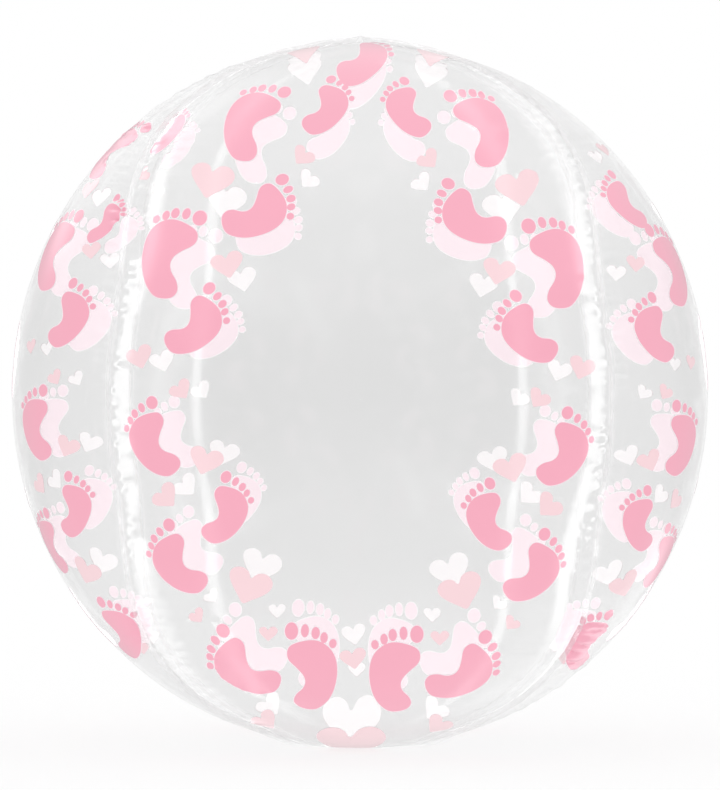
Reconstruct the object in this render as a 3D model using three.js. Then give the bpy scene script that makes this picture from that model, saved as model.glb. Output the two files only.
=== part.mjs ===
// Clear bubble balloon: four gores of clear film, welded edge to edge along four seams that run
// from pole to pole and bow out sideways on the way, so the front and back gores are the wider
// ones near the poles. Each weld stands out as a thin fin, and the film puckers across it.
// The balloon is sealed, so each gore is a closed solid: its share of the globe, from the outside
// of the film to the axis. Millimetres, +Z up; the globe rests on a small flat spot whose middle
// is the origin, and the front gore faces -Y.
import * as THREE from 'three';
import { mergeVertices } from 'three/addons/utils/BufferGeometryUtils.js';

const equatorRadius = 232.5;    // outside of the film, half way up
const poleRise = 4.5;           // how much further the film stands from the centre at the poles
const footRadius = 36;          // the flat spot that keeps the globe from rolling
const gores = ['right_panel', 'back_panel', 'left_panel', 'front_panel'];
const seamBow = 18;             // degrees by which the seams leave the diagonals near the poles
const bowStart = 14;            // latitudes between which they do
const bowEnd = 64;

const finHeight = 4;            // the weld, standing out from the film
const finThickness = 0.4;       // one gore's half of the weld
const seamGap = 0.3;            // clear space between one gore and the next
const seamSink = 6;             // the weld holds the film in by this much
const sinkReach = 18;           // distance from the weld at which a third of that is left

const puckerDepth = 3;          // from the floor of a pucker to the ridge beside it
const puckerPeak = 7;           // distance from the weld where the puckers are deepest
const polePeak = 13;            // the same near the poles, where the puckers run further in
const puckers = 33;             // between the foot and the top of each seam

const topRowLatitude = 88.4;    // the film closes to a point above this latitude
const tuftHeight = 3;           // the four welds gathered at the top
const columns = [0.05, 0.13, 0.3, 0.52, 0.76]; // from weld to middle, as shares of half a gore

const filmColour = 0xe4e4e6;
const goreAngle = (2 * Math.PI) / gores.length;
const puckerRows = 2 * puckers;

const filmRadius = (latitude) => equatorRadius + poleRise * Math.sin(latitude) ** 2;

// The foot cuts the globe where the film is footRadius from the axis.
function latitudeOfFoot() {
  let latitude = -Math.PI / 2;
  for (let pass = 0; pass < 20; pass += 1) {
    latitude = -Math.acos(footRadius / filmRadius(latitude));
  }
  return latitude;
}

// Half of what a gore takes up of the circle. bow is 1 for the front and back, -1 for the sides.
function halfAngle(latitude, bow) {
  const { degToRad, smoothstep } = THREE.MathUtils;
  const swing = smoothstep(Math.abs(latitude), degToRad(bowStart), degToRad(bowEnd));
  return goreAngle / 2 + bow * degToRad(seamBow) * swing;
}

const footLatitude = latitudeOfFoot();
const topLatitude = THREE.MathUtils.degToRad(topRowLatitude);
const centreHeight = -filmRadius(footLatitude) * Math.sin(footLatitude);

// How far the film stands out of or sinks below the plain globe, at a distance from the weld.
function relief(latitude, distance, side) {
  const girth = Math.sqrt(Math.cos(latitude));
  const sink = seamSink * girth * Math.exp(-distance / sinkReach);
  const peak = THREE.MathUtils.lerp(puckerPeak, polePeak, Math.sin(latitude) ** 2);
  const fade = (distance / peak) * Math.exp(1 - distance / peak);
  return side * 0.5 * puckerDepth * girth * fade - sink;
}

// A point of the seam plane, moved sideways into the gore. hand is -1 or +1 for the two edges.
function edgePoint(hand, half, reach, height, inset) {
  const x = reach * Math.cos(half) + inset * Math.sin(half);
  const y = reach * Math.sin(half) - inset * Math.cos(half);
  return [x, hand * y, height];
}

// One closed ring around a gore: the axis, one fin, the film from edge to edge, the other fin.
function ring(row, bow) {
  const latitude = footLatitude + ((topLatitude - footLatitude) * row) / puckerRows;
  const half = halfAngle(latitude, bow);
  const onFoot = row === 0;
  const side = row % 2 === 0 ? 1 : -1;
  const out = Math.cos(latitude);
  const up = Math.sin(latitude);
  const rootInset = seamGap / 2 + finThickness;

  const filmPoint = (distance) => {
    const radius = filmRadius(latitude) + (onFoot ? 0 : relief(latitude, distance, side));
    return [radius * out, onFoot ? 0 : centreHeight + radius * up];
  };

  const [rootReach, rootHeight] = filmPoint(0);
  const fin = up < 0 ? Math.min(finHeight, rootHeight / -up) : finHeight; // trimmed by the floor
  const tipReach = rootReach + fin * out;
  const tipHeight = Math.max(0, rootHeight + fin * up);
  const weld = (hand) => [
    edgePoint(hand, half, tipReach, tipHeight, seamGap / 2),
    edgePoint(hand, half, tipReach, tipHeight, rootInset),
    edgePoint(hand, half, rootReach, rootHeight, rootInset),
  ];

  const rootAngle = half - Math.asin(rootInset / rootReach);
  const filmAt = (share, hand) => {
    const angle = rootAngle * (1 - share);
    const [reach, height] = filmPoint(rootReach * Math.sin(half - angle));
    return [reach * Math.cos(angle), hand * reach * Math.sin(angle), height];
  };

  const axis = [seamGap / 2 / Math.sin(half), 0, rootHeight];
  return [
    axis,
    ...weld(-1),
    ...columns.map((share) => filmAt(share, -1)),
    filmAt(1, 1),
    ...columns.toReversed().map((share) => filmAt(share, 1)),
    ...weld(1).reverse(),
  ];
}

// Rings stacked from the foot to the top, then closed below by the flat foot, above by the tuft.
function goreGeometry(bow) {
  const rings = Array.from({ length: puckerRows + 1 }, (_, row) => ring(row, bow));
  const count = rings[0].length;
  const top = [rings[0][0][0], 0, centreHeight + filmRadius(Math.PI / 2) + tuftHeight];
  const positions = [...rings.flat(), top].flat();
  const topIndex = rings.length * count;
  const faces = [];
  for (let row = 0; row < rings.length - 1; row += 1) {
    for (let j = 0; j < count; j += 1) {
      const a = row * count + j;
      const b = row * count + ((j + 1) % count);
      if (j < count - 1) faces.push([a, b, b + count], [a, b + count, a + count]);
      else faces.push([a, b, a + count], [b, b + count, a + count]); // as the neighbour's first
    }
  }
  for (let j = 1; j < count - 1; j += 1) faces.push([0, j + 1, j]);
  for (let j = 0; j < count; j += 1) {
    const last = topIndex - count;
    faces.push([last + j, last + ((j + 1) % count), topIndex]);
  }
  const loose = new THREE.BufferGeometry();
  loose.setAttribute('position', new THREE.Float32BufferAttribute(positions, 3));
  loose.setIndex(faces.flat());
  const merged = mergeVertices(loose, 1e-3);
  const index = merged.getIndex().array;
  const kept = [];
  for (let i = 0; i < index.length; i += 3) {
    const [a, b, c] = index.slice(i, i + 3);
    if (a !== b && b !== c && c !== a) kept.push(a, b, c); // the fin has no height at the foot
  }
  merged.setIndex(kept);
  merged.computeVertexNormals();
  return merged;
}

const balloon = new THREE.Group();
const sideGore = goreGeometry(-1);
const frontGore = goreGeometry(1);
gores.forEach((name, place) => {
  const film = new THREE.MeshStandardMaterial({
    color: filmColour, roughness: 0.08, metalness: 0, transparent: true, opacity: 0.3,
  });
  const panel = new THREE.Mesh(place % 2 === 0 ? sideGore : frontGore, film);
  panel.name = name;
  panel.rotation.z = place * goreAngle;
  balloon.add(panel);
});

export default balloon;
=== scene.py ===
from math import acos, asin, atan, cos, degrees, exp, pi, radians, sin, sqrt

import bpy
import numpy as np
from mathutils import Matrix, Vector, kdtree
from mathutils.geometry import delaunay_2d_cdt


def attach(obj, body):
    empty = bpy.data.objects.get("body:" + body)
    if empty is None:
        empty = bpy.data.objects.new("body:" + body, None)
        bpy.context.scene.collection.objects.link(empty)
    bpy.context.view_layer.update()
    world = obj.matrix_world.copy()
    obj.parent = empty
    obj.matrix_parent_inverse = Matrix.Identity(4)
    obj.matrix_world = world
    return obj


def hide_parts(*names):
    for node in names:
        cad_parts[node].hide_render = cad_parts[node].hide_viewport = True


# Clear bubble balloon: four gores of clear printed film, cut flat, printed, then wrapped round the
# globe and welded along four seams. Lengths in the dictionaries are millimetres, angles degrees.

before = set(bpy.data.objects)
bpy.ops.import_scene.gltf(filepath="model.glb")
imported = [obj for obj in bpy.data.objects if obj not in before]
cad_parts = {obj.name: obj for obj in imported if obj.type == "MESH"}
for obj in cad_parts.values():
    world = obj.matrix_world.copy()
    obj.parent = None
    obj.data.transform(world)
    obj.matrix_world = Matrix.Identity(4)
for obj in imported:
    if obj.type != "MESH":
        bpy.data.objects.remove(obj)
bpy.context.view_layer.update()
scene = bpy.context.scene
mm = 0.001


globe = {
    "equatorRadius": 232.5,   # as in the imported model
    "poleRise": 4.5,
    "footRadius": 36.0,
    "seamBow": 18.0,          # by which the seams leave the diagonals on their way to the poles
    "bowStart": 14.0,         # latitudes between which they do
    "bowEnd": 64.0,
}


def filmRadius(latitude):
    return globe["equatorRadius"] + globe["poleRise"] * sin(latitude) ** 2


def latitudeOfFoot():
    latitude = -pi / 2
    for _ in range(20):
        latitude = -acos(globe["footRadius"] / filmRadius(latitude))
    return latitude


def ease(value, low, high):
    share = min(max((value - low) / (high - low), 0.0), 1.0)
    return share * share * (3 - 2 * share)


def halfAngle(latitude, bow):
    # half of what a gore takes up of the circle; bow is 1 for the front and back, -1 for the sides
    swing = ease(abs(degrees(latitude)), globe["bowStart"], globe["bowEnd"])
    return pi / 4 + bow * radians(globe["seamBow"]) * swing


footLatitude = latitudeOfFoot()
centreHeight = -filmRadius(footLatitude) * sin(footLatitude)

view = {
    "distance": 3400.0,
    "lens": 231.0,
    "floorRadius": 40000.0,   # beyond this the floor sweeps up into a wall
    "sweepRadius": 20000.0,
    "wallHeight": 60000.0,
    "floorDrop": 0.4,         # keeps the floor just under the flat foot
}

camera = bpy.data.objects.new("camera", bpy.data.cameras.new("camera"))
camera.location = (0.0, -view["distance"] * mm, centreHeight * mm)
camera.rotation_euler = (pi / 2, 0.0, 0.0)
camera.data.lens = view["lens"]
camera.data.clip_end = 100.0
scene.collection.objects.link(camera)
scene.camera = camera
print("camera set")


class Wire:
    # A socket of a node tree. Sums and products of wires add the Math nodes they need.
    def __init__(self, tree, socket=None):
        self.tree = tree
        self.socket = socket

    def node(self, kind, settings=None, inputs=None, output=0):
        made = self.tree.nodes.new(kind)
        for name, value in (settings or {}).items():
            setattr(made, name, value)
        for name, value in (inputs or {}).items():
            if isinstance(value, Wire):
                self.tree.links.new(value.socket, made.inputs[name])
            else:
                made.inputs[name].default_value = value
        return Wire(self.tree, made.outputs[output] if len(made.outputs) else None)

    def other(self, output):
        return Wire(self.tree, self.socket.node.outputs[output])

    def math(self, operation, *values):
        inputs = dict(enumerate((self, *values)))
        return self.node("ShaderNodeMath", {"operation": operation}, inputs)

    def __add__(self, value):
        return self.math("ADD", value)

    def __sub__(self, value):
        return self.math("SUBTRACT", value)

    def __mul__(self, value):
        return self.math("MULTIPLY", value)

    def __truediv__(self, value):
        return self.math("DIVIDE", value)

    def __pow__(self, value):
        return self.math("POWER", value)

    def __rsub__(self, value):
        return self.node("ShaderNodeMath", {"operation": "SUBTRACT"}, {0: value, 1: self})

    def __rtruediv__(self, value):
        return self.node("ShaderNodeMath", {"operation": "DIVIDE"}, {0: value, 1: self})

    def __neg__(self):
        return self * -1.0

    __radd__ = __add__
    __rmul__ = __mul__

    def smooth(self, low, high):
        inputs = {"Value": self, "From Min": low, "From Max": high}
        return self.node("ShaderNodeMapRange", {"interpolation_type": "SMOOTHSTEP"}, inputs)


def principled(name, constants, build=None):
    material = bpy.data.materials.new(name)
    material.use_nodes = True
    tree = material.node_tree
    shader = next(node for node in tree.nodes if node.type == "BSDF_PRINCIPLED")
    for socket, value in constants.items():
        shader.inputs[socket].default_value = value
    if build:
        for socket, wire in build(Wire(tree)).items():
            tree.links.new(wire.socket, shader.inputs[socket])
    return material


def addFloor():
    # a wide pale floor that turns up into a wall all round, with no edge for the film to show
    flat, sweep, drop = view["floorRadius"], view["sweepRadius"], view["floorDrop"]
    profile = [(flat * share, 0.0) for share in (0.001, 0.01, 0.1, 0.4, 0.8, 1.0)]
    profile += [(flat + sweep * sin(turn), sweep * (1 - cos(turn)))
                for turn in np.linspace(0.0, pi / 2, 15)[1:]]
    profile += [(flat + sweep, view["wallHeight"])]
    around, points, faces = 96, [(0.0, 0.0, -drop * mm)], []
    for reach, height in profile:
        points += [(cos(2 * pi * k / around) * reach * mm, sin(2 * pi * k / around) * reach * mm,
                    (height - drop) * mm) for k in range(around)]
    for k in range(around):
        ahead = (k + 1) % around
        faces.append((0, 1 + k, 1 + ahead))
        for row in range(len(profile) - 1):
            base = 1 + row * around
            faces.append((base + k, base + around + k, base + around + ahead, base + ahead))
    mesh = bpy.data.meshes.new("floor")
    mesh.from_pydata(points, [], faces)
    mesh.shade_smooth()
    floor = bpy.data.objects.new("floor", mesh)
    scene.collection.objects.link(floor)
    glow = studio["floorGlow"] * studio["behind"]
    shade = (1.0 - studio["floorGlow"]) * studio["behind"] / studio["dome"]
    mesh.materials.append(principled("floor paint", {
        "Base Color": (shade, shade, shade, 1.0), "Roughness": 1.0, "Specular IOR Level": 0.0,
        "Emission Color": (1.0, 1.0, 1.0, 1.0), "Emission Strength": glow,
    }))
    mesh.materials[0].cycles.emission_sampling = "NONE"
    floor.visible_glossy = False     # the film mirrors the softboxes below it instead
    floor.visible_diffuse = False    # and its underside is lit as evenly as the rest


studio = {
    "behind": 1.0,            # what the camera sees round the balloon
    "dome": 1.2,              # the plain light from every side
    "floorGlow": 0.7,         # share of the floor's paleness that no shadow takes away
    "mirroredLevel": 0.6,     # what the film mirrors: level with it
    "mirroredAbove": 1.35,    # from straight above
    "mirroredBelow": 0.85,    # and from straight below
}


def addDome():
    world = bpy.data.worlds.new("studio")
    scene.world = world
    world.use_nodes = True
    tree = world.node_tree
    tree.nodes.clear()
    wire = Wire(tree)
    way = wire.node("ShaderNodeTexCoord", output="Generated")
    height = wire.node("ShaderNodeSeparateXYZ", None, {0: way}, 2)
    level = studio["mirroredLevel"]
    mirrored = height.smooth(0.1, 0.9) * (studio["mirroredAbove"] - level)
    mirrored = mirrored + (-height).smooth(0.1, 0.9) * (studio["mirroredBelow"] - level)
    mirrored = mirrored + level
    glossy = wire.node("ShaderNodeLightPath", output="Is Glossy Ray")
    seen = wire.node("ShaderNodeLightPath", output="Is Camera Ray")
    strength = studio["dome"] + glossy * (mirrored - studio["dome"])
    strength = strength + seen * (studio["behind"] - strength)
    shade = wire.node("ShaderNodeBackground", None, {"Color": (1, 1, 1, 1), "Strength": strength})
    wire.node("ShaderNodeOutputWorld", None, {"Surface": shade})
    world.cycles.sampling_method = "NONE"


wrap = {
    "Equator radius": 232.5, "Pole rise": 4.5, "Centre height": centreHeight,
    "Fin height": 4.0, "Fin wave": 0.9, "Fin wave length": 11.0,
    "Seam sink": 7.0, "Sink reach": 15.0,
    "Seam ripple": 0.8, "Ripple length": 16.0, "Ripple reach": 8.0,
    "Pucker depth": 2.2, "Pucker spacing": 7.5, "Pucker peak": 4.8,
    "Fold depth": 1.7, "Fold spacing": 5.0, "Fold peak": 24.0,
    "Dent depth": 0.45, "Dent size": 80.0,
    "Seam gap": 0.3,
}


# Long curved softboxes, one set facing each gore. Each is shaped so that the gore mirrors it as a
# band beside its welds: near and far are the band's edges, in mm from the weld. Away from the
# equator a band grows wider by so much on one diagonal of the gore, where bars make it darker, and
# drifts so far from the weld on the other, where it fades. Teeth as long as toothed run along the
# near edge. It ends at the latitude reach. soft is the share of its width that the far edge takes
# to fade, and softNear the near one.
softboxes = {
    "weld band": dict(near=13.0, far=26.0, toothed=8.5, wider=22.0, drift=12.0, fades=0.8,
                      barred=0.75, reach=76.0, radiance=3.9, soft=0.45, softNear=0.12),
    "window band": dict(near=70.0, far=79.0, toothed=0.0, wider=9.0, drift=0.0, fades=0.3,
                        barred=0.0, reach=72.0, radiance=3.4, soft=0.35, softNear=0.35),
}
cornerBand = dict(near=0.0, far=15.0, start=36.0, end=72.0, radiance=3.6, soft=0.3)
panels = {                    # soft panels that the rim mirrors: azimuth, elevation, width, height
    "upper left panel": dict(azimuth=-150, elevation=30, width=40, height=40, radiance=1.0),
    "lower right panel": dict(azimuth=150, elevation=-30, width=40, height=40, radiance=1.0),
}
bands = {
    "distance": 6000.0,       # of every softbox from the balloon
    "rows": 401,              # of its mesh along a band
    "cornerRows": 21,
    "points": 7,              # of its mesh across a band
    "widens": (18, 46),       # latitudes between which a band grows wider
    "drifts": (8, 28),
    "fades": (32, 48),
    "wideFainter": 0.35,      # a wide part is fainter by this
    "barLength": 16.0,        # degrees from one dark bar to the next, which the folds break up
    "toothWidth": 1.6,        # in degrees
    "softEnds": 0.15,
    "panelPoints": 9,
    "panelSoft": 0.5,
    "otherSides": 0.4,        # the light on the side and back gores, as a share of the front's
}


def filmNormal(away, latitude, hand, bow):
    # which way the film faces at a distance from the weld, on a gore turned to face the camera
    radius = globe["equatorRadius"]
    slope = wrap["Seam sink"] * sqrt(cos(latitude)) / wrap["Sink reach"]
    tilt = atan(slope * exp(-away / wrap["Sink reach"]))
    half = halfAngle(latitude, bow)
    turn = half - min(away / (radius * cos(latitude)), half)
    outward = Vector((hand * sin(turn) * cos(latitude), -cos(turn) * cos(latitude), sin(latitude)))
    sideways = Vector((hand * cos(turn), sin(turn), 0.0))
    return outward * cos(tilt) + sideways * sin(tilt)


def mirroredWay(normal):
    sight = Vector((0.0, 1.0, 0.0))
    return sight - normal * (2 * sight.dot(normal))


def addSoftbox(name, rows, glows, radiance, soft, softNear, turn=0.0, receivers=None):
    # a sheet of light whose rows run across it, seen by reflections alone
    count, across = len(rows), len(rows[0])
    spin = Matrix.Rotation(turn, 3, "Z")
    centre = Vector((0, 0, centreHeight * mm))
    points = [spin @ way * bands["distance"] * mm + centre for row in rows for way in row]
    faces = [(r * across + k, r * across + k + 1, (r + 1) * across + k + 1, (r + 1) * across + k)
             for r in range(count - 1) for k in range(across - 1)]
    mesh = bpy.data.meshes.new(name)
    mesh.from_pydata(points, [], faces)
    share = mesh.attributes.new("share", "FLOAT_VECTOR", "POINT")
    share.data.foreach_set("vector", [v for r in range(count) for k in range(across)
                                      for v in (k / (across - 1), r / (count - 1), glows[r])])
    material = bpy.data.materials.new(name)
    material.use_nodes = True
    tree = material.node_tree
    tree.nodes.clear()
    wire = Wire(tree)
    place = wire.node("ShaderNodeAttribute", {"attribute_name": "share"}, None, "Vector")
    glow = wire.node("ShaderNodeSeparateXYZ", None, {0: place}, 2) * radiance
    for axis, low, high in ((0, softNear, soft), (1, bands["softEnds"], bands["softEnds"])):
        edge = wire.node("ShaderNodeSeparateXYZ", None, {0: place}, axis)
        glow = edge.smooth(0.0, low) * (1.0 - edge).smooth(0.0, high) * glow
    light = wire.node("ShaderNodeEmission", None, {"Color": (1, 1, 1, 1), "Strength": glow})
    clear = wire.node("ShaderNodeBsdfTransparent")
    both = wire.node("ShaderNodeAddShader", None, {0: light, 1: clear})
    wire.node("ShaderNodeOutputMaterial", None, {"Surface": both})
    material.cycles.emission_sampling = "NONE"
    mesh.materials.append(material)
    box = bpy.data.objects.new(name, mesh)
    scene.collection.objects.link(box)
    box.visible_camera = box.visible_diffuse = box.visible_shadow = False
    if receivers:
        box.light_linking.receiver_collection = receivers


def toothedEdge(latitudes, seed):
    # teeth side by side, uneven in width and length: 0 at their roots, up to 1 at their tips
    pick = np.random.default_rng(seed)
    at, knots, heights = latitudes[0], [], []
    while at < latitudes[-1]:
        width = bands["toothWidth"] * pick.uniform(0.6, 1.5)
        knots += [at, at + width * pick.uniform(0.3, 0.7)]
        heights += [0.0, pick.uniform(0.2, 1.0)]
        at += width
    return np.interp(latitudes, knots, heights)


def bandRow(low, high, latitude, hand, bow):
    # the ways in which the film mirrors the light, from one edge of the band to the other
    return [mirroredWay(filmNormal(away, radians(latitude), hand, bow))
            for away in np.linspace(low, high, bands["points"])]


def addBand(name, turn, bow, receivers, near, far, toothed, wider, drift, fades, barred, reach,
            radiance, soft, softNear):
    for hand, side in ((-1, "left"), (1, "right")):
        rows, glows = [], []
        latitudes = np.linspace(-reach, reach, bands["rows"])
        for latitude, tooth in zip(latitudes, toothedEdge(latitudes, 20 + hand) * toothed):
            if latitude * hand > 0:
                spread = ease(abs(latitude), *bands["widens"])
                bars = 0.5 + 0.5 * cos(2 * pi * latitude / bands["barLength"])
                low, high = near - tooth, far + wider * spread
                glows.append((1.0 - bands["wideFainter"] * spread) * (1.0 - barred * spread * bars))
            else:
                away = drift * ease(abs(latitude), *bands["drifts"])
                low, high = near - tooth + away, far + away
                glows.append(1.0 - fades * ease(abs(latitude), *bands["fades"]))
            rows.append(bandRow(low, high, latitude, hand, bow))
        addSoftbox(f"{name} {side}", rows, glows, radiance, soft, softNear, turn, receivers)


def addCornerBand(name, turn, bow, receivers, near, far, start, end, radiance, soft):
    for hand, side in ((-1, "left"), (1, "right")):
        rows = [bandRow(near, far, latitude * -hand, hand, bow)
                for latitude in np.linspace(start, end, bands["cornerRows"])]
        addSoftbox(f"{name} {side}", rows, [1.0] * len(rows), radiance, soft, soft, turn, receivers)


def addPanel(name, azimuth, elevation, width, height, radiance):
    rows, count = [], bands["panelPoints"]
    for up in np.linspace(-height / 2, height / 2, count):
        turns = np.radians(azimuth + np.linspace(-width / 2, width / 2, count))
        tilt = radians(elevation + up)
        rows.append([Vector((sin(t) * cos(tilt), -cos(t) * cos(tilt), sin(tilt))) for t in turns])
    addSoftbox(name, rows, [1.0] * len(rows), radiance, bands["panelSoft"], bands["panelSoft"])


addFloor()
addDome()
scene.view_settings.view_transform = "Standard"
scene.cycles.transparent_max_bounces = 32
print("stage and lights set")


artwork = {
    "roll": 1.4,              # the whole print sits a little turned on the globe
    "widest": 1.6,            # most that a motif near the rim is drawn out
    "rimAngle": 78.0,         # motifs past this have no copy at the back
    "sideAzimuth": 80.0,      # motifs past this are drawn as seen from the side
    "underlay": 0.45,         # the white under the pink shows by this much
    "outlineStep": 1.7,
    "curl": 4.5,              # a motif that takes up more of the circle than this crosses its cut
}

# a footprint of length 1, heel down and big toe to the left: the sole, then each toe as x, y, width
# and height
footSole = [
    (-0.02, 0.34), (-0.17, 0.31), (-0.26, 0.26), (-0.28, 0.18), (-0.25, 0.11), (-0.16, 0.03),
    (-0.09, -0.05), (-0.07, -0.13), (-0.1, -0.21), (-0.17, -0.29), (-0.2, -0.38), (-0.16, -0.46),
    (-0.06, -0.5), (0.05, -0.49), (0.16, -0.39), (0.24, -0.24), (0.28, -0.05), (0.27, 0.12),
    (0.21, 0.24), (0.1, 0.32),
]
footToes = [
    (-0.24, 0.42, 0.15, 0.17), (-0.09, 0.43, 0.09, 0.13), (0.03, 0.41, 0.095, 0.12),
    (0.125, 0.365, 0.085, 0.11), (0.225, 0.305, 0.085, 0.095),
]
heartOutline = [
    (0.0, -0.42), (-0.16, -0.28), (-0.35, -0.09), (-0.48, 0.09), (-0.5, 0.25), (-0.41, 0.37),
    (-0.26, 0.42), (-0.11, 0.37), (-0.02, 0.24), (0.1, 0.4), (0.27, 0.45), (0.42, 0.38),
    (0.49, 0.24), (0.46, 0.08), (0.33, -0.1), (0.15, -0.28),
]

# where each footprint is: azimuth, latitude, clockwise turn, length, big toe left (-1) or right
# (1), and for a few near the rim how far they are drawn out
feetOnBothSides = [
    (-10, 52, 33, 42, -1), (-29, 49, 17, 57, 1), (-19, 29.5, 62, 51, -1), (-35.5, 22.5, 13, 60, 1),
    (-27, 10.5, 46, 49, -1), (-35, -8, -31, 50, 1), (-22, -19, 27, 45, -1), (-34, -28, -42, 49, 1),
    (-28, -49, -57, 54, 1), (-10, -49.3, 0, 57, -1), (-71, 23, 12, 57, 1, 1.9),
    (-56, 11.5, 31, 45, -1), (-66, -6, -14, 48, 1, 1.9), (-56.5, -19.5, 18, 43, -1),
    (-74, -26, -25, 45, 1, 1.9), (-63, -43, 0, 50, -1),
]
feetOnOneSide = [
    (-54.5, 28, 40, 36, -1, 1.1), (61, 34, -45, 43, 1), (-54, 47, 22, 40, -1),
    (-75, 43, 35, 52, 1, 2.2), (-1, 70, 45, 43, -1, 3.0),
]
# each heart: azimuth, latitude, clockwise turn, width, and for a few how far they are drawn out
heartsOnBothSides = [
    (-38, 73, -12, 22, 4.0), (-13, 40, 40, 15), (-31, 35, 14, 29), (-23, 20, -12, 21),
    (-37.5, 5, -18, 18.5), (-29, 0, -35, 15), (-25, -11, 17, 22), (-33, -17, -45, 18.5),
    (-20, -32, 19, 28.5), (-33, -38, -40, 11), (-18, -41, 0, 12), (-36, -66, -40, 19, 2.4),
    (-55, 22.5, -5, 14), (-69, 6.5, -8, 12), (-58, 1.5, -32, 12), (-55, -9.5, 22, 17),
    (-68, -16, -45, 16), (-61, -31, 20, 23), (-61, -47, -10, 12),
]
heartsOnOneSide = [
    (0, -46, -10, 17), (0, -78, 0, 45, 2.6), (-69, 34, 6, 18), (-51, 37, 65, 12), (71, 45, -20, 14),
]
heartsBehind = [
    (-31, 69.5, -12, 23, 2.7), (31, 69.5, 14, 23, 2.7), (1, -54.6, 0, 12), (0, -73, 0, 40, 2.8),
]
# round the sides, guessed in the same manner
sideFeet = [
    (90, 8, 20, 50, -1), (-90, 4, -20, 50, 1), (92, -38, -30, 50, 1), (-91, -42, 30, 50, -1),
]
sideHearts = [(90, 33, 12, 20), (-90, 27, -10, 18), (88, -14, -25, 16), (-88, -19, 22, 20)]


def closedCurve(points, step):
    # a smooth closed line through the points, with a corner wherever it turns sharply
    points = np.array(points, float)
    line = []
    for k in range(len(points)):
        a, b, c, d = (points[(k + j) % len(points)] for j in (-1, 0, 1, 2))
        count = max(2, int(round(np.linalg.norm(c - b) / step)))
        for t in np.arange(count) / count:
            line.append(0.5 * (2 * b + (c - a) * t + (2 * a - 5 * b + 4 * c - d) * t * t
                               + (3 * b - a - 3 * c + d) * t ** 3))
    return np.array(line)


def ovalOutline(x, y, width, height, step):
    count = max(10, int(round(pi * width / step)))
    turn = 2 * pi * np.arange(count) / count
    return np.stack([x + width / 2 * np.cos(turn), y + height / 2 * np.sin(turn)], 1)


def grown(outline, by):
    # the same outline, moved outwards
    ahead, behind = np.roll(outline, -1, 0), np.roll(outline, 1, 0)
    along = ahead - behind
    along /= np.maximum(np.linalg.norm(along, axis=1), 1e-9)[:, None]
    area = np.sum(outline[:, 0] * ahead[:, 1] - outline[:, 1] * ahead[:, 0])
    outwards = np.stack([along[:, 1], -along[:, 0]], 1) * (1 if area > 0 else -1)
    return outline + outwards * by


def globeDirection(azimuth, latitude):
    turn, tilt = radians(azimuth), radians(latitude)
    return np.array([sin(turn) * cos(tilt), -cos(turn) * cos(tilt), sin(tilt)])


def laidOnGlobe(outline, azimuth, latitude, widest):
    # outline is seen flat from the front; near the rim it is drawn out, so that it reads the same
    radius = globe["equatorRadius"]
    centre = globeDirection(azimuth, latitude)
    tilt = acos(max(-1.0, min(1.0, -centre[1])))
    across = np.array([centre[0], 0, centre[2]])
    across /= max(np.linalg.norm(across), 1e-9)
    if abs(azimuth) > artwork["sideAzimuth"]:
        flatX = np.cross([0, 0, 1], centre)
        flatX /= np.linalg.norm(flatX)
        shift = outline[:, :1] * flatX + outline[:, 1:] * np.cross(centre, flatX)
    else:
        stretch = min(1 / max(cos(tilt), 1e-3), widest)
        flat = outline[:, :1] * np.array([1.0, 0, 0]) + outline[:, 1:] * np.array([0, 0, 1.0])
        outward = flat @ across
        outwardWay = across - centre * (across @ centre)
        outwardWay /= np.linalg.norm(outwardWay)
        sideWay = np.array([-across[2], 0, across[0]])
        shift = outward[:, None] * stretch * outwardWay + (flat @ sideWay)[:, None] * sideWay
    length = np.linalg.norm(shift, axis=1)[:, None]
    angle = length / radius
    return np.cos(angle) * centre + np.sin(angle) * shift / np.maximum(length, 1e-9)


def toBack(points):
    # the copy at the back of the balloon: the same picture, seen through the front
    x, z = points[:, 0], points[:, 2]
    return np.stack([x, np.sqrt(np.maximum(1 - x * x - z * z, 0)), z], 1)


def rolled(points):
    turn = radians(artwork["roll"])
    x = points[:, 0] * cos(turn) + points[:, 2] * sin(turn)
    z = points[:, 2] * cos(turn) - points[:, 0] * sin(turn)
    return np.stack([x, points[:, 1], z], 1)


def turned(outline, clockwise):
    turn = radians(clockwise)
    x = outline[:, 0] * cos(turn) + outline[:, 1] * sin(turn)
    y = outline[:, 1] * cos(turn) - outline[:, 0] * sin(turn)
    return np.stack([x, y], 1)


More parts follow.
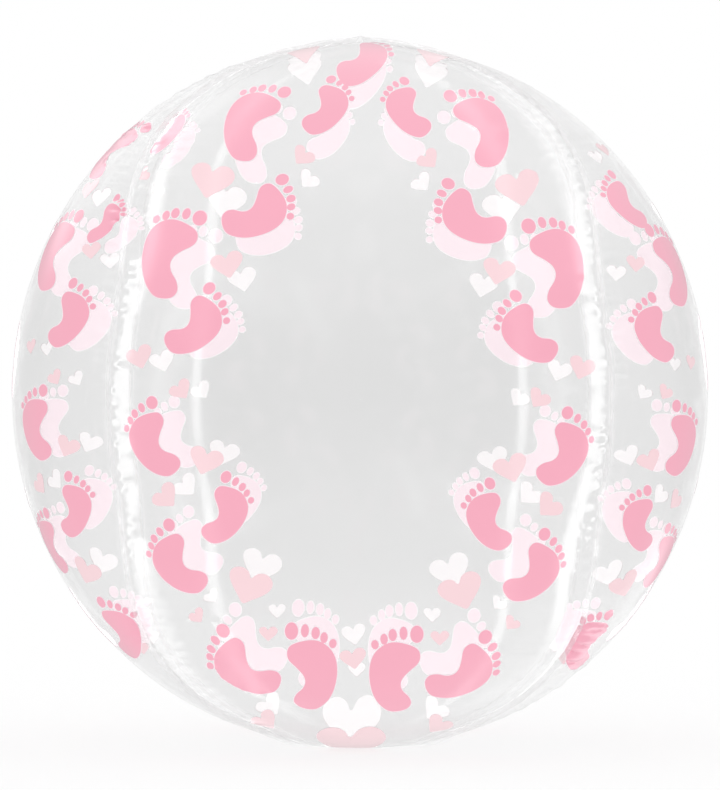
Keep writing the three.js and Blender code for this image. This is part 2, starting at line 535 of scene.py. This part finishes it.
def printMotifs():
    # every outline as (ink, which print it belongs to, directions from the middle of the globe)
    mirror = lambda row, flips: tuple(-v if k in flips else v for k, v in enumerate(row))
    feet = feetOnBothSides + [mirror(row, (0, 2, 4)) for row in feetOnBothSides]
    feet += feetOnOneSide + sideFeet
    hearts = heartsOnBothSides + [mirror(row, (0, 2)) for row in heartsOnBothSides]
    hearts += heartsOnOneSide + sideHearts
    step = artwork["outlineStep"]
    motifs = []

    def lay(ink, outline, azimuth, latitude, widest, front=True):
        # each print keeps its middle with it, which says which gore it is on
        widest = widest[0] if widest else artwork["widest"]
        middle = globeDirection(azimuth, latitude)[None]
        points = laidOnGlobe(outline, azimuth, latitude, widest)
        if front:
            motifs.append((ink, rolled(middle)[0], rolled(points)))
        if not front or degrees(acos(-middle[0][1])) < artwork["rimAngle"]:
            motifs.append((ink, rolled(toBack(middle))[0], rolled(toBack(points))))

    for azimuth, latitude, turn, length, toe, *widest in feet:
        parts = [closedCurve(np.array(footSole) * length, step)]
        parts += [ovalOutline(*(np.array(row) * length), step * 0.8) for row in footToes]
        for part in parts:
            part = part * (-toe, 1)
            under = grown(part, artwork["underlay"])
            lay("foot", turned(part, turn), azimuth, latitude, widest)
            lay("underlay", turned(under, turn), azimuth, latitude, widest)
    for front, rows in ((True, hearts), (False, heartsBehind)):
        for azimuth, latitude, turn, width, *widest in rows:
            outline = closedCurve(np.array(heartOutline) * (width, width * 0.9), step * 0.8)
            lay("heart", turned(outline, turn), azimuth, latitude, widest, front)
    return motifs


motifs = printMotifs()
print("motifs drawn:", len(motifs))


cut = {
    "finHeight": 4.0,         # the weld margin on both edges
    "rowStep": 1.35,          # along the seam
    "foldLatitude": 30.0,     # above and below this the folds run far in
    "stagger": 1.06,          # every other row sits further in by this
    "fromMiddle": 0.8,        # points keep this far from the middle line
    "fromOutline": 0.6,       # and from every printed outline
    "middleStep": 6.5,        # between the points of the smooth middle
    "middleRows": 4,          # and this many rows apart
}
# distance from the weld, and how many rows apart its points are: at the weld, then further in near
# the equator and near the poles
columnsAtWeld = [
    (0, 1), (1.2, 1), (2.4, 1), (3.7, 1), (5.1, 1), (6.6, 1), (8.2, 1), (10, 1), (12, 1),
]
columnsPlain = columnsAtWeld + [(14.5, 2), (17.5, 2), (21, 2), (25, 4), (30, 4)]
columnsFolded = columnsAtWeld + [
    (14.5, 1), (17, 1), (20, 1), (23, 1), (26.5, 1), (30, 2), (34, 2), (38.5, 2), (43, 2), (48, 2),
]


def marginAt(latitude):
    rootHeight = centreHeight + filmRadius(latitude) * sin(latitude)
    if latitude <= footLatitude or rootHeight <= 0.1:
        return 0.0
    return min(cut["finHeight"], rootHeight / -sin(latitude)) if latitude < 0 else cut["finHeight"]


def halfWidth(latitude, bow):
    return globe["equatorRadius"] * cos(latitude) * halfAngle(latitude, bow)


def goreOutline(bow):
    radius, step = globe["equatorRadius"], cut["rowStep"]
    rows = int(round(pi * radius / step))
    right = []
    for row in range(rows + 1):
        latitude = -pi / 2 + pi * row / rows
        right.append((halfWidth(latitude, bow) + marginAt(latitude), radius * latitude))
    left = [(-x, y) for x, y in reversed(right) if x > 1e-6]
    return np.array(right + left)


def gorePoints(bow):
    radius, step, middleStep = globe["equatorRadius"], cut["rowStep"], cut["middleStep"]
    rows = int(round(pi * radius / step))
    points = []
    for row in range(1, rows):
        latitude = -pi / 2 + pi * row / rows
        half, margin, y = halfWidth(latitude, bow), marginAt(latitude), radius * latitude
        folded = abs(degrees(latitude)) > cut["foldLatitude"]
        columns = columnsFolded if folded else columnsPlain
        for share in (1 / 3, 2 / 3):
            if margin > 1.5:
                points += [(half + share * margin, y), (-half - share * margin, y)]
        for distance, apart in columns:
            inset = distance * (1.0 if row % 2 else cut["stagger"])
            if row % apart == 0 and inset < half - cut["fromMiddle"]:
                points += [(half - inset, y), (inset - half, y)]
        if row % cut["middleRows"] == 0 and half > 3:
            inner = max(half - columns[-1][0] - middleStep * 0.6, 0)
            count = int(inner / middleStep)
            shift = 0.5 if row % (2 * cut["middleRows"]) else 0.0
            points += [((k + shift) * middleStep, y) for k in range(-count, count + 1)
                       if abs(k + shift) * middleStep <= inner]
    return np.array(points)


def toFlat(points, goreAzimuth):
    # directions to the flat pattern of one gore
    azimuth = np.arctan2(points[:, 1], points[:, 0]) - goreAzimuth
    azimuth = (azimuth + pi) % (2 * pi) - pi
    latitude = np.arcsin(np.clip(points[:, 2], -1, 1))
    x = globe["equatorRadius"] * np.cos(latitude) * azimuth
    return np.stack([x, globe["equatorRadius"] * latitude], 1), azimuth


inks = ["film", "foot", "heart", "underlay"]


def cutGore(name, goreAzimuth, bow):
    outline = goreOutline(bow)
    faces, kinds, lines = [], [], []
    points = [tuple(p) for p in outline]
    faces.append(list(range(len(points))))
    for ink, middle, directions in motifs:
        # a print stays on the gore that its middle is on, and ends at the weld
        home = toFlat(middle[None], goreAzimuth)[1][0]
        if abs(home) > halfAngle(asin(max(-1.0, min(1.0, middle[2]))), bow):
            continue
        flat, azimuth = toFlat(directions, goreAzimuth)
        if np.ptp(azimuth) > artwork["curl"]:
            continue
        ahead = np.roll(flat, -1, 0)
        if np.sum(flat[:, 0] * ahead[:, 1] - flat[:, 1] * ahead[:, 0]) < 0:
            flat = flat[::-1]     # the triangulation wants its outlines anticlockwise
        faces.append(list(range(len(points), len(points) + len(flat))))
        kinds.append(ink)
        points += [tuple(p) for p in flat]
        lines.append(flat)
    tree = kdtree.KDTree(sum(len(line) for line in lines))
    for k, p in enumerate(np.concatenate(lines)):
        tree.insert((p[0], p[1], 0), k)
    tree.balance()
    points += [tuple(p) for p in gorePoints(bow)
               if tree.find((p[0], p[1], 0))[2] > cut["fromOutline"]]
    made = delaunay_2d_cdt([Vector(p) for p in points], [], faces, 0, 1e-4, True)
    corners, triangles, within = made[0], made[2], made[5]
    kept, colours = [], []
    for triangle, owners in zip(triangles, within):
        if 0 not in owners:
            continue
        own = {kinds[k - 1] for k in owners if k}
        x, y = (sum(corners[v][axis] for v in triangle) / 3 for axis in (0, 1))
        if abs(x) > halfWidth(y / globe["equatorRadius"], bow):
            own = set()           # the weld margins are left clear
        ink = next((i for i in ("foot", "underlay", "heart") if i in own), "film")
        kept.append(triangle)
        colours.append(inks.index(ink))
    used = sorted({v for t in kept for v in t})
    place = {v: k for k, v in enumerate(used)}
    mesh = bpy.data.meshes.new(name)
    mesh.from_pydata([(corners[v][0] * mm, corners[v][1] * mm, 0) for v in used], [],
                     [[place[v] for v in t] for t in kept])
    ink = mesh.attributes.new("ink", "INT", "FACE")
    ink.data.foreach_set("value", np.array(colours, np.int32))
    return mesh


film = {
    "alpha": 0.1,
    "roughness": 0.07,
    "rubbed": 0.06,           # rougher by this in places
    "rubScale": 60.0,
    "ior": 2.2,
    "grey": 0.1,              # in the middle of a gore
    "paleGrey": 0.26,             # paler grey near the welds and the poles
    "paleFromWeld": (0.055, 0.085),      # distances in metres
    "paleHeight": (0.11, 0.17),          # from the equator
    "cloud": 0.05,            # unevenness of the grey
    "cloudScale": 9.0,
    "weldWhite": 0.75,        # the weld itself
    "weldEdge": (0.0005, 0.005),
    "brightest": 0.95,
    # ridges of creases and teeth are painted paler: partly film whitened where it is creased,
    # partly painted highlight streaks for what the folds mirror
    "creaseWhiteAndGlint": 0.8,
    "toothWhiteAndGlint": 0.3,        # as a share of it
    "toothSpacing": 0.0068,   # short sharp creases all along the welds
    "toothReach": (0.003, 0.016),
    "toothDepth": 0.7,        # in mm
    "creaseSpacing": 0.0036,  # long fine ones where the film is gathered
    "creaseReach": (0.015, 0.06),
    "creaseDepth": 0.6,
    "sharpness": 0.6,         # of their ridges: 1 is a plain wedge, less is sharper
    "waver": 0.024,           # depth of the faint waves all over, in mm
    "waverScale": 30.0,
}


def filmSurface(wire):
    place = wire.node("ShaderNodeTexCoord", output="Object")
    noise = lambda scale, detail: wire.node(
        "ShaderNodeTexNoise", None, {"Vector": place, "Scale": scale, "Detail": detail}, "Fac")
    stored = lambda name: wire.node("ShaderNodeAttribute", {"attribute_name": name}, None, "Fac")
    cloud = noise(film["cloudScale"], 3.0).smooth(0.35, 0.7)
    height = wire.node("ShaderNodeSeparateXYZ", None, {0: place}, 2) - centreHeight * mm
    fromWeld = stored("from weld")
    within = lambda reach: 1.0 - fromWeld.smooth(*film[reach])
    # the film's grey turns paler towards the poles and the welds
    paling = height.math("ABSOLUTE").smooth(*film["paleHeight"])
    paling = paling.math("MAXIMUM", within("paleFromWeld"))
    grey = film["grey"] + paling * (film["paleGrey"] - film["grey"]) + cloud * film["cloud"]

    def ridges(spacing, shift):
        # sharp ridges side by side along the weld, each of its own strength
        strand = lambda feature, out: wire.node(
            "ShaderNodeTexVoronoi", {"voronoi_dimensions": "1D", "feature": feature},
            {"W": stored("along weld") + shift, "Scale": 1.0 / spacing, "Randomness": 1.0}, out)
        own = wire.node("ShaderNodeSeparateColor", None, {0: strand("F1", "Color")}, 0)
        aside = (strand("DISTANCE_TO_EDGE", "Distance") * 2.0).math("MINIMUM", 1.0)
        return (1.0 - aside ** film["sharpness"]) * own

    teeth = ridges(film["toothSpacing"], 0.0) * within("toothReach") * stored("puckered")
    crease = ridges(film["creaseSpacing"], 0.31) * within("creaseReach") * stored("creased")
    # creases and teeth painted paler: partly whitened film, partly painted highlight streaks
    ridgeWhiteAndGlint = (teeth * film["toothWhiteAndGlint"] + crease) * film["creaseWhiteAndGlint"]
    grey = grey + ridgeWhiteAndGlint * (1.0 - grey)
    grey = grey + within("weldEdge") * (film["weldWhite"] - grey)
    grey = grey.math("MINIMUM", film["brightest"])
    colour = wire.node("ShaderNodeCombineColor", None, {0: grey, 1: grey, 2: grey * 1.005})
    rubbed = noise(film["rubScale"], 4.0).smooth(0.45, 0.8) * film["rubbed"]
    relief = noise(film["waverScale"], 2.0) * film["waver"]
    relief = relief + teeth * film["toothDepth"] + crease * film["creaseDepth"]
    bump = wire.node("ShaderNodeBump", None, {"Strength": 1.0, "Distance": mm, "Height": relief})
    return {"Base Color": colour, "Roughness": film["roughness"] + rubbed, "Normal": bump}


inkFinish = {
    "ior": 1.45,
    "specular": 0.4,
    "roughness": 0.12,
    "rubbed": 0.12,           # rougher by this in places
    "patchy": 0.05,           # unevenness of the colour
    "patchScale": 26.0,
    "speckScale": 900.0,
    "speckStrength": 0.1,
    "speckDepth": 0.2,        # in mm
}
inkColours = {
    "foot": (0.79, 0.357, 0.45), "heart": (0.8, 0.58, 0.61), "underlay": (0.8, 0.7, 0.73),
    "footInside": (0.92, 0.8, 0.84), "heartInside": (0.96, 0.95, 0.95),
}
paintedGlowInside = {                # painted glow on the inks seen from inside, standing in for the light that comes through from the front: colour and strength
    "footInside": ((1.0, 0.88, 0.93, 1.0), 0.17), "heartInside": ((1.0, 1.0, 1.0, 1.0), 0.12),
}
inkNames = {
    "foot": "pink ink", "heart": "pale pink ink", "underlay": "white ink",
    "footInside": "pink ink from inside with painted glow", "heartInside": "white ink from inside with painted glow",
}


def inkMaterial(kind):
    constants = {"IOR": inkFinish["ior"], "Specular IOR Level": inkFinish["specular"]}
    # the inks seen from inside glow with a painted light that makes them paler and brighter
    if kind in paintedGlowInside:
        constants["Emission Color"], constants["Emission Strength"] = paintedGlowInside[kind]

    def surface(wire):
        place = wire.node("ShaderNodeTexCoord", output="Object")
        noise = lambda scale, detail: wire.node(
            "ShaderNodeTexNoise", None, {"Vector": place, "Scale": scale, "Detail": detail}, "Fac")
        patches = noise(inkFinish["patchScale"], 4.0)
        fade = 1.0 - inkFinish["patchy"] / 2 + patches * inkFinish["patchy"]
        colour = wire.node("ShaderNodeCombineColor", None,
                           {k: fade * part for k, part in enumerate(inkColours[kind])})
        roughness = inkFinish["roughness"] + patches * inkFinish["rubbed"]
        bump = wire.node("ShaderNodeBump", None, {
            "Strength": inkFinish["speckStrength"], "Distance": inkFinish["speckDepth"] * mm,
            "Height": noise(inkFinish["speckScale"], 2.0),
        })
        return {"Base Color": colour, "Roughness": roughness, "Normal": bump}
    return principled(inkNames[kind], constants, surface)


filmConstants = {
    "Alpha": film["alpha"], "IOR": film["ior"], "Specular IOR Level": 1.0, "Metallic": 0.0,
}
materials = {"film": principled("clear film", filmConstants, filmSurface)}
materials.update({kind: inkMaterial(kind) for kind in inkNames})
# the material of each ink, seen from outside and then from inside
slots = ["film", "foot", "heart", "underlay", "film", "footInside", "heartInside", "heartInside"]
print("materials made:", len(materials))


plainNumbers = {              # inputs that aren't lengths
    "Seed": 4.7, "Gore azimuth": 0.0, "Seam bow": radians(globe["seamBow"]),
    "Bow start": radians(globe["bowStart"]), "Bow end": radians(globe["bowEnd"]),
    "Foot end": footLatitude - 0.01,            # between these latitudes the foot's flat spot
    "Film start": footLatitude + radians(9.0),  # turns into creased film
    "Pucker wander": 0.16,    # as a share of the spacing
    "Fold wander": 0.8,
    "Flat diagonal": 0.3,     # depth of the puckers where the film lies flatter
    "Roundness": 0.62,        # of puckers and folds: 1 is a plain wedge, less is rounder
}


def buildWrap():
    tree = bpy.data.node_groups.new("wrap gore", "GeometryNodeTree")
    add = lambda name, kind, way="INPUT": tree.interface.new_socket(
        name, in_out=way, socket_type=kind)
    add("Geometry", "NodeSocketGeometry", "OUTPUT")
    add("Geometry", "NodeSocketGeometry")
    for name in list(wrap) + list(plainNumbers):
        add(name, "NodeSocketFloat")
    for name in inks:
        add(name, "NodeSocketMaterial")
    start = Wire(tree)
    given = start.node("NodeGroupInput")
    value = lambda name: given.other(name)
    part = lambda vector, k: start.node("ShaderNodeSeparateXYZ", None, {0: vector}, k)
    vector = lambda x, y, z: start.node("ShaderNodeCombineXYZ", None, {0: x, 1: y, 2: z})

    place = start.node("GeometryNodeInputPosition")
    x, y = part(place, 0), part(place, 1)
    radius = value("Equator radius")
    latitude = y / radius
    cosLat = latitude.math("COSINE").math("MAXIMUM", 1e-5)
    sinLat = latitude.math("SINE")
    bowed = latitude.math("ABSOLUTE").smooth(value("Bow start"), value("Bow end"))
    halfTurn = value("Seam bow") * bowed + pi / 4
    half = radius * cosLat * halfTurn
    side = x.math("SIGN")
    size = x.math("ABSOLUTE")
    over = (size - half).math("MAXIMUM", 0.0)
    inner = size.math("MINIMUM", half)
    turn = side * inner / (radius * cosLat)
    away = half - inner                       # distance from the weld
    azimuth = value("Gore azimuth") + turn
    seamAzimuth = value("Gore azimuth") + side * halfTurn
    poleward = sinLat * sinLat
    girth = cosLat ** 0.5

    around = lambda angle: (angle.math("COSINE"), angle.math("SINE"))
    direction = lambda angle: vector(around(angle)[0] * cosLat, around(angle)[1] * cosLat, sinLat)
    here, onSeam = direction(azimuth), direction(seamAzimuth)

    def noise(where, length, detail=2.0, shift=0.0):
        # about -1 to 1, with features of this length on the film
        at = start.node("ShaderNodeVectorMath", {"operation": "SCALE"},
                        {0: where, "Scale": radius / length})
        moved = start.node("ShaderNodeVectorMath", {"operation": "ADD"},
                           {0: at, 1: vector(value("Seed") + shift, shift * 1.7, -shift)})
        made = start.node("ShaderNodeTexNoise", None,
                          {"Vector": moved, "Scale": 1.0, "Detail": detail}, "Fac")
        return made * 2.0 - 1.0

    def pillows(spacing, shift, wander):
        # bulges side by side along the weld, with a sharp valley between neighbours; gives their
        # shape and two random numbers for each, other ones at every weld
        seed = value("Gore azimuth") * 7.3 + side * 41.7 + shift + value("Seed")
        along = (y + wander) / spacing + seed * 3.1
        make = lambda feature, out: start.node(
            "ShaderNodeTexVoronoi", {"voronoi_dimensions": "1D", "feature": feature},
            {"W": along, "Scale": 1.0, "Randomness": 0.9}, out)
        edge = make("DISTANCE_TO_EDGE", "Distance")
        own = make("F1", "Color")
        hump = (edge * 2.0).math("MINIMUM", 1.0) ** value("Roundness")
        return hump, part(own, 0), part(own, 1)

    def fade(reach):
        # 0 at the weld, 1 at this distance from it, then slowly back to 0
        u = away / reach
        return u * (1.0 - u).math("EXPONENT") * (1.0 - away.smooth(reach * 1.5, reach * 5.0))

    # short puckers all along the weld, reaching further in towards the poles, and shallow at them
    spacing = value("Pucker spacing")
    wander = noise(here, spacing * 2.0, 1.0, 3.0) * spacing * value("Pucker wander")
    hump, first, second = pillows(spacing, 0.0, wander)
    reach = value("Pucker peak") * (0.5 + first * 0.9 + poleward * 0.8)
    lowest = value("Flat diagonal")
    calm = lowest + (side * sinLat).smooth(-0.65, -0.1) * (1.0 - lowest)
    capped = 1.0 - poleward.smooth(0.88, 0.98) * 0.85
    puckers = value("Pucker depth") * girth * hump * (0.3 + second) * fade(reach) * calm * capped

    # long folds towards the poles, deep where the puckers are
    spacing = value("Fold spacing")
    drift = noise(here, spacing * 4.0, 1.0, 9.0) * spacing * value("Fold wander")
    hump, first, second = pillows(spacing, 11.0, drift)
    zone = poleward.smooth(0.18, 0.5) * (1.0 - poleward.smooth(0.82, 0.94))
    zone = zone * (0.1 + (side * sinLat).smooth(-0.2, 0.35) * 0.9)
    reach = value("Fold peak") * (0.5 + first * 1.1)
    folds = value("Fold depth") * girth * hump * (0.25 + second * 0.9) * fade(reach) * zone
    along = y + drift * 0.5 + side * 0.9 + value("Gore azimuth")    # what the fine creases follow

    ripple = noise(onSeam, value("Ripple length"), 1.0, 5.0)
    ripple = ripple * (-(away / value("Ripple reach"))).math("EXPONENT")
    dents = noise(here, value("Dent size"), 1.0, 21.0) * value("Dent depth") * 0.5
    sink = value("Seam sink") * girth * (-(away / value("Sink reach"))).math("EXPONENT")
    footFade = latitude.smooth(value("Foot end"), value("Film start"))
    relief = (puckers + folds + ripple * value("Seam ripple") + dents - sink) * footFade

    film = radius + value("Pole rise") * poleward + relief
    reach = film + over
    wave = noise(onSeam, value("Fin wave length"), 1.0, 14.0) * value("Fin wave")
    wave = wave * over / value("Fin height")
    seamCos, seamSin = around(seamAzimuth)
    shiftX, shiftY = around(value("Gore azimuth"))
    gap = value("Seam gap") / halfTurn.math("SINE")
    wrapped = vector(
        part(here, 0) * reach - seamSin * wave + shiftX * gap,
        part(here, 1) * reach + seamCos * wave + shiftY * gap,
        (part(here, 2) * reach + value("Centre height")).math("MAXIMUM", 0.0))

    shape = start.node("GeometryNodeStoreNamedAttribute", {"data_type": "FLOAT"},
                       {"Geometry": value("Geometry"), "Name": "from weld", "Value": away - over})
    for name, amount in (("along weld", along), ("creased", zone), ("puckered", calm * capped)):
        shape = start.node("GeometryNodeStoreNamedAttribute", {"data_type": "FLOAT"},
                           {"Geometry": shape, "Name": name, "Value": amount})
    shape = start.node("GeometryNodeSetPosition", None, {"Geometry": shape, "Position": wrapped})
    ink = start.node("GeometryNodeInputNamedAttribute", {"data_type": "INT"}, {"Name": "ink"})
    for k, name in enumerate(inks):
        chosen = start.node("FunctionNodeCompare", {"data_type": "INT", "operation": "EQUAL"},
                            {2: ink, 3: k})
        shape = start.node("GeometryNodeSetMaterial", None,
                           {"Geometry": shape, "Selection": chosen, "Material": value(name)})
    shape = start.node("GeometryNodeRealizeInstances", None, {"Geometry": shape})
    start.node("NodeGroupOutput", None, {0: shape})
    return tree


wrapTree = buildWrap()
wall = {"thickness": 0.2, "creaseAngle": 50.0}


def makeGore(name, goreAzimuth, bow):
    flat = cutGore(name, goreAzimuth, bow)
    worker = bpy.data.objects.new(name, flat)
    scene.collection.objects.link(worker)
    for slot in slots:
        flat.materials.append(materials[slot])
    wrapper = worker.modifiers.new("wrap", "NODES")
    wrapper.node_group = wrapTree
    numbers = {key: number * mm for key, number in wrap.items()}
    numbers.update(plainNumbers)
    numbers["Gore azimuth"] = goreAzimuth
    numbers["Seam bow"] = numbers["Seam bow"] * bow
    for item in wrapTree.interface.items_tree:
        if item.in_out == "INPUT" and item.name in numbers:
            wrapper[item.identifier] = float(numbers[item.name])
        elif item.in_out == "INPUT" and item.name in inks:
            wrapper[item.identifier] = materials[item.name]
    thicken = worker.modifiers.new("wall", "SOLIDIFY")
    thicken.thickness, thicken.offset = wall["thickness"] * mm, -1.0
    thicken.material_offset = len(inks)       # the inks look different from inside
    thicken.use_rim, thicken.use_quality_normals = True, True
    graph = bpy.context.evaluated_depsgraph_get()
    mesh = bpy.data.meshes.new_from_object(worker.evaluated_get(graph))
    bpy.data.objects.remove(worker)
    mesh.shade_smooth()
    mesh.set_sharp_from_angle(angle=radians(wall["creaseAngle"]))
    print(name, len(mesh.polygons), "faces")
    return mesh


goreNames = [("front_film", "front_panel", -pi / 2), ("right_film", "right_panel", 0.0),
             ("back_film", "back_panel", pi / 2), ("left_film", "left_panel", pi)]
for name, node, goreAzimuth in goreNames:
    bow = 1 if node in ("front_panel", "back_panel") else -1
    mesh = makeGore(name, goreAzimuth, bow)
    piece = bpy.data.objects.new(name, mesh)
    scene.collection.objects.link(piece)
    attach(piece, "root")
    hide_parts(node)
    lit = bpy.data.collections.new(name + " lights")
    lit.objects.link(piece)
    turn = goreAzimuth + pi / 2
    for band, values in softboxes.items():
        share = 1 if node == "front_panel" else bands["otherSides"]
        values = dict(values, radiance=values["radiance"] * share)
        if band == "weld band" or node == "front_panel":
            addBand(f"{band} of {name}", turn, bow, lit, **values)
    if node == "front_panel":
        addCornerBand("corner band of " + name, turn, bow, lit, **cornerBand)
for name, values in panels.items():
    addPanel(name, **values)
print("gores wrapped")
